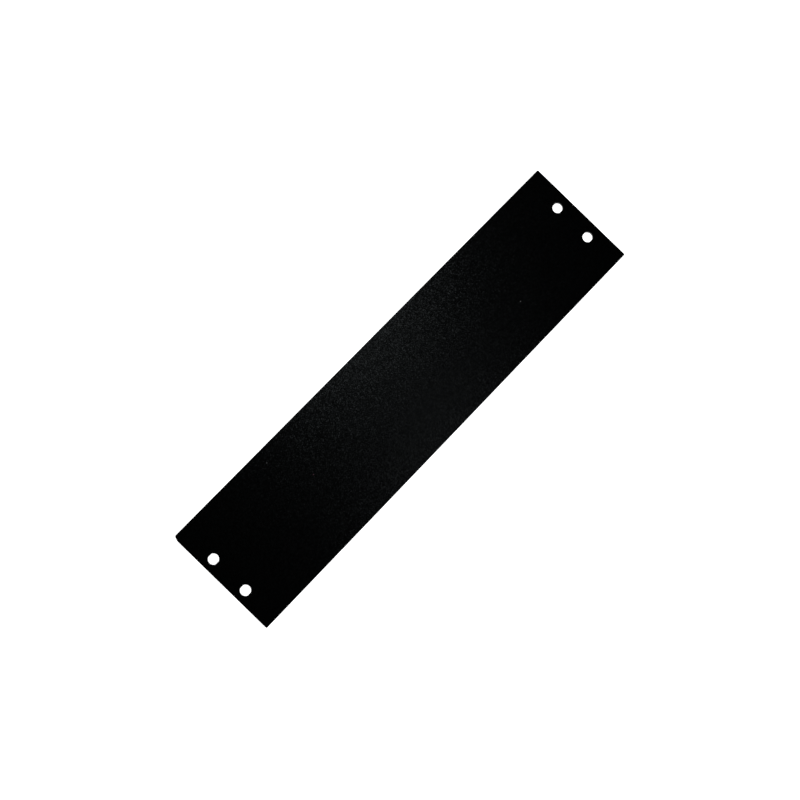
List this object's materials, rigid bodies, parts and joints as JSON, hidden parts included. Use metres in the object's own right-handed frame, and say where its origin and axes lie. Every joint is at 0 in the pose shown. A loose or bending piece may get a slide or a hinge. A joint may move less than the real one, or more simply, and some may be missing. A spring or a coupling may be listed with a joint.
{
  "type": "rack blanking panel",
  "caption": "Narrow flat blanking panel for a modular rack frame: a thin steel sheet in fine-texture black powder coat, with screw holes near both ends.",
  "frame": {"origin": "centre of the panel's rear face, which is the side it lies on", "axes": "+X along the panel towards its crisp-cornered end, +Y across it, +Z out of the front face"},
  "size_m": [0.2214, 0.0532, 0.0012],
  "materials": {
    "powder_coat": "matte"
  },
  "bodies": {
    "root": {"blanking_panel": "powder_coat"}
  },
  "joints": []
}
